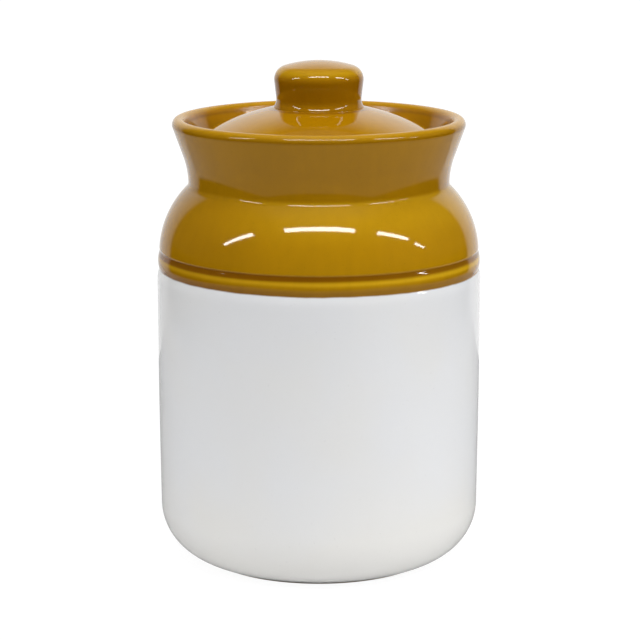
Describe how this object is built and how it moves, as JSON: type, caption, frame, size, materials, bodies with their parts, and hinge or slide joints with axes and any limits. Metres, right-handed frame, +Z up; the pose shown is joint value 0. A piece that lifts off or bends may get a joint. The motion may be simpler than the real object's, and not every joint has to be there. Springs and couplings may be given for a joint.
{
  "type": "water seal pickle jar",
  "caption": "Two-tone glazed stoneware pickling jar with a domed, knobbed lid whose skirt stands in a water gutter round the mouth",
  "frame": {"origin": "centre of the foot ring, on the surface that the jar stands on", "axes": "+Z up along the jar's axis of turning; the whole part is turned about it, so +X and +Y are any two directions square to it"},
  "size_m": [0.14, 0.14, 0.217],
  "materials": {
    "white_glaze": "glossy white glaze, bare clay under the foot ring",
    "ochre_glaze": "glossy translucent amber-ochre glaze, darker where it pools in the groove, the crease and the gutter"
  },
  "bodies": {
    "jar": {"jar_body": "white_glaze", "shoulder": "ochre_glaze", "collar": "ochre_glaze", "inner_neck": "ochre_glaze"},
    "lid": {"lid_dome": "ochre_glaze", "lid_knob": "ochre_glaze"}
  },
  "joints": [
    {"name": "lid_lift", "type": "slide", "parent": "jar", "child": "lid", "axis": [0, 0, 1], "range_m": [0, 0.07]}
  ]
}
